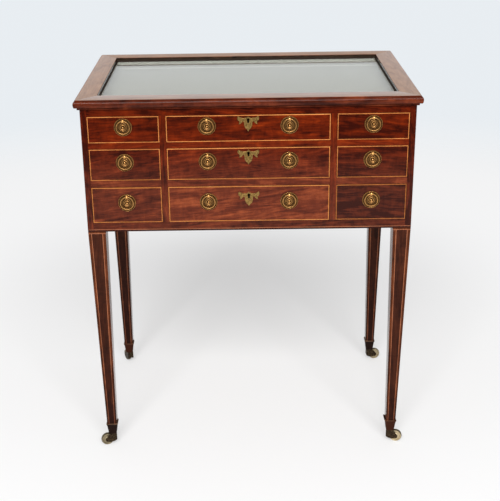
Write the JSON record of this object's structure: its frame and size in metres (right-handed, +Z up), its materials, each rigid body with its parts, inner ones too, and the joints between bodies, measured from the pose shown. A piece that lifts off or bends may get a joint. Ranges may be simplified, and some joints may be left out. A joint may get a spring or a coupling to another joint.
{
  "type": "collectors display table",
  "caption": "Table on tapered legs and casters with a lined display well under a hinged glazed lid and rows of ring-handled drawers.",
  "frame": {"origin": "on the floor, under the middle of the table's overall box", "axes": "+Z up, the drawers face -Y, +X to the right of someone standing before the drawers"},
  "size_m": [0.66, 0.44, 0.765],
  "materials": {
    "mahogany": "french polished, with boxwood stringing",
    "carcase_wood": "thinly polished",
    "brass": "polished, toned in the hollows",
    "aged_brass": "darkened by age",
    "lining": "short-napped cloth, glued down",
    "glass": "clear, polished"
  },
  "bodies": {
    "carcase": {"side_panel_left": "mahogany", "side_panel_right": "mahogany", "back_panel": "carcase_wood", "bottom_board": "mahogany", "drawer_frame": "mahogany", "display_tray": "lining", "hinge_leaf_carcase_left": "brass", "hinge_leaf_carcase_right": "brass", "leg_front_left": "mahogany", "leg_front_right": "mahogany", "leg_back_left": "mahogany", "leg_back_right": "mahogany"},
    "lid": {"lid_frame": "mahogany", "lid_glass": "glass", "hinge_leaf_lid_left": "brass", "hinge_leaf_lid_right": "brass"},
    "drawer_top_left": {"drawer_top_left": "mahogany", "handle_plate_top_left": "brass"},
    "drawer_top_centre": {"drawer_top_centre": "mahogany", "handle_plate_top_centre_left": "brass", "handle_plate_top_centre_right": "brass", "lock_plate_top": "aged_brass"},
    "drawer_top_right": {"drawer_top_right": "mahogany", "handle_plate_top_right": "brass"},
    "drawer_middle_left": {"drawer_middle_left": "mahogany", "handle_plate_middle_left": "brass"},
    "drawer_middle_centre": {"drawer_middle_centre": "mahogany", "handle_plate_middle_centre_left": "brass", "handle_plate_middle_centre_right": "brass", "lock_plate_middle": "aged_brass"},
    "drawer_middle_right": {"drawer_middle_right": "mahogany", "handle_plate_middle_right": "brass"},
    "drawer_bottom_left": {"drawer_bottom_left": "mahogany", "handle_plate_bottom_left": "brass"},
    "drawer_bottom_centre": {"drawer_bottom_centre": "mahogany", "handle_plate_bottom_centre_left": "brass", "handle_plate_bottom_centre_right": "brass", "lock_plate_bottom": "aged_brass"},
    "drawer_bottom_right": {"drawer_bottom_right": "mahogany", "handle_plate_bottom_right": "brass"},
    "ring_top_left": {"handle_ring_top_left": "brass"},
    "ring_top_centre_left": {"handle_ring_top_centre_left": "brass"},
    "ring_top_centre_right": {"handle_ring_top_centre_right": "brass"},
    "ring_top_right": {"handle_ring_top_right": "brass"},
    "ring_middle_left": {"handle_ring_middle_left": "brass"},
    "ring_middle_centre_left": {"handle_ring_middle_centre_left": "brass"},
    "ring_middle_centre_right": {"handle_ring_middle_centre_right": "brass"},
    "ring_middle_right": {"handle_ring_middle_right": "brass"},
    "ring_bottom_left": {"handle_ring_bottom_left": "brass"},
    "ring_bottom_centre_left": {"handle_ring_bottom_centre_left": "brass"},
    "ring_bottom_centre_right": {"handle_ring_bottom_centre_right": "brass"},
    "ring_bottom_right": {"handle_ring_bottom_right": "brass"},
    "horn_front_left": {"caster_horn_front_left": "aged_brass"},
    "horn_front_right": {"caster_horn_front_right": "aged_brass"},
    "horn_back_left": {"caster_horn_back_left": "aged_brass"},
    "horn_back_right": {"caster_horn_back_right": "aged_brass"},
    "wheel_front_left": {"caster_wheel_front_left": "aged_brass"},
    "wheel_front_right": {"caster_wheel_front_right": "aged_brass"},
    "wheel_back_left": {"caster_wheel_back_left": "aged_brass"},
    "wheel_back_right": {"caster_wheel_back_right": "aged_brass"}
  },
  "joints": [
    {"name": "lid_lift", "type": "hinge", "parent": "carcase", "child": "lid", "pos_m": [0, 0.2125, 0.74565], "axis": [-1, 0, 0], "range_deg": [0, 100]},
    {"name": "drawer_slide_top_left", "type": "slide", "parent": "carcase", "child": "drawer_top_left", "axis": [0, -1, 0], "range_m": [0, 0.28]},
    {"name": "drawer_slide_top_centre", "type": "slide", "parent": "carcase", "child": "drawer_top_centre", "axis": [0, -1, 0], "range_m": [0, 0.28]},
    {"name": "drawer_slide_top_right", "type": "slide", "parent": "carcase", "child": "drawer_top_right", "axis": [0, -1, 0], "range_m": [0, 0.28]},
    {"name": "drawer_slide_middle_left", "type": "slide", "parent": "carcase", "child": "drawer_middle_left", "axis": [0, -1, 0], "range_m": [0, 0.28]},
    {"name": "drawer_slide_middle_centre", "type": "slide", "parent": "carcase", "child": "drawer_middle_centre", "axis": [0, -1, 0], "range_m": [0, 0.28]},
    {"name": "drawer_slide_middle_right", "type": "slide", "parent": "carcase", "child": "drawer_middle_right", "axis": [0, -1, 0], "range_m": [0, 0.28]},
    {"name": "drawer_slide_bottom_left", "type": "slide", "parent": "carcase", "child": "drawer_bottom_left", "axis": [0, -1, 0], "range_m": [0, 0.28]},
    {"name": "drawer_slide_bottom_centre", "type": "slide", "parent": "carcase", "child": "drawer_bottom_centre", "axis": [0, -1, 0], "range_m": [0, 0.28]},
    {"name": "drawer_slide_bottom_right", "type": "slide", "parent": "carcase", "child": "drawer_bottom_right", "axis": [0, -1, 0], "range_m": [0, 0.28]},
    {"name": "handle_swing_top_left", "type": "hinge", "parent": "drawer_top_left", "child": "ring_top_left", "pos_m": [-0.23835, -0.2126, 0.7227], "axis": [-1, 0, 0], "range_deg": [0, 150]},
    {"name": "handle_swing_top_centre_left", "type": "hinge", "parent": "drawer_top_centre", "child": "ring_top_centre_left", "pos_m": [-0.0787, -0.2126, 0.7227], "axis": [-1, 0, 0], "range_deg": [0, 150]},
    {"name": "handle_swing_top_centre_right", "type": "hinge", "parent": "drawer_top_centre", "child": "ring_top_centre_right", "pos_m": [0.0787, -0.2126, 0.7227], "axis": [-1, 0, 0], "range_deg": [0, 150]},
    {"name": "handle_swing_top_right", "type": "hinge", "parent": "drawer_top_right", "child": "ring_top_right", "pos_m": [0.23835, -0.2126, 0.7227], "axis": [-1, 0, 0], "range_deg": [0, 150]},
    {"name": "handle_swing_middle_left", "type": "hinge", "parent": "drawer_middle_left", "child": "ring_middle_left", "pos_m": [-0.23835, -0.2126, 0.65275], "axis": [-1, 0, 0], "range_deg": [0, 150]},
    {"name": "handle_swing_middle_centre_left", "type": "hinge", "parent": "drawer_middle_centre", "child": "ring_middle_centre_left", "pos_m": [-0.0787, -0.2126, 0.65275], "axis": [-1, 0, 0], "range_deg": [0, 150]},
    {"name": "handle_swing_middle_centre_right", "type": "hinge", "parent": "drawer_middle_centre", "child": "ring_middle_centre_right", "pos_m": [0.0787, -0.2126, 0.65275], "axis": [-1, 0, 0], "range_deg": [0, 150]},
    {"name": "handle_swing_middle_right", "type": "hinge", "parent": "drawer_middle_right", "child": "ring_middle_right", "pos_m": [0.23835, -0.2126, 0.65275], "axis": [-1, 0, 0], "range_deg": [0, 150]},
    {"name": "handle_swing_bottom_left", "type": "hinge", "parent": "drawer_bottom_left", "child": "ring_bottom_left", "pos_m": [-0.23835, -0.2126, 0.5708], "axis": [-1, 0, 0], "range_deg": [0, 150]},
    {"name": "handle_swing_bottom_centre_left", "type": "hinge", "parent": "drawer_bottom_centre", "child": "ring_bottom_centre_left", "pos_m": [-0.0787, -0.2126, 0.5708], "axis": [-1, 0, 0], "range_deg": [0, 150]},
    {"name": "handle_swing_bottom_centre_right", "type": "hinge", "parent": "drawer_bottom_centre", "child": "ring_bottom_centre_right", "pos_m": [0.0787, -0.2126, 0.5708], "axis": [-1, 0, 0], "range_deg": [0, 150]},
    {"name": "handle_swing_bottom_right", "type": "hinge", "parent": "drawer_bottom_right", "child": "ring_bottom_right", "pos_m": [0.23835, -0.2126, 0.5708], "axis": [-1, 0, 0], "range_deg": [0, 150]},
    {"name": "caster_swivel_front_left", "type": "hinge", "parent": "carcase", "child": "horn_front_left", "pos_m": [-0.29875, -0.18875, 0.038], "axis": [0, 0, 1], "continuous": true},
    {"name": "caster_roll_front_left", "type": "hinge", "parent": "horn_front_left", "child": "wheel_front_left", "pos_m": [-0.31099, -0.19249, 0.0136], "axis": [0.2924, -0.9563, 0], "continuous": true},
    {"name": "caster_swivel_front_right", "type": "hinge", "parent": "carcase", "child": "horn_front_right", "pos_m": [0.29875, -0.18875, 0.038], "axis": [0, 0, 1], "continuous": true},
    {"name": "caster_roll_front_right", "type": "hinge", "parent": "horn_front_right", "child": "wheel_front_right", "pos_m": [0.31117, -0.19185, 0.0136], "axis": [0.2419, 0.9703, 0], "continuous": true},
    {"name": "caster_swivel_back_left", "type": "hinge", "parent": "carcase", "child": "horn_back_left", "pos_m": [-0.29875, 0.18875, 0.038], "axis": [0, 0, 1], "continuous": true},
    {"name": "caster_roll_back_left", "type": "hinge", "parent": "horn_back_left", "child": "wheel_back_left", "pos_m": [-0.30476, 0.20005, 0.0136], "axis": [-0.8829, -0.4695, 0], "continuous": true},
    {"name": "caster_swivel_back_right", "type": "hinge", "parent": "carcase", "child": "horn_back_right", "pos_m": [0.29875, 0.18875, 0.038], "axis": [0, 0, 1], "continuous": true},
    {"name": "caster_roll_back_right", "type": "hinge", "parent": "horn_back_right", "child": "wheel_back_right", "pos_m": [0.31152, 0.18964, 0.0136], "axis": [-0.0698, 0.9976, 0], "continuous": true}
  ]
}
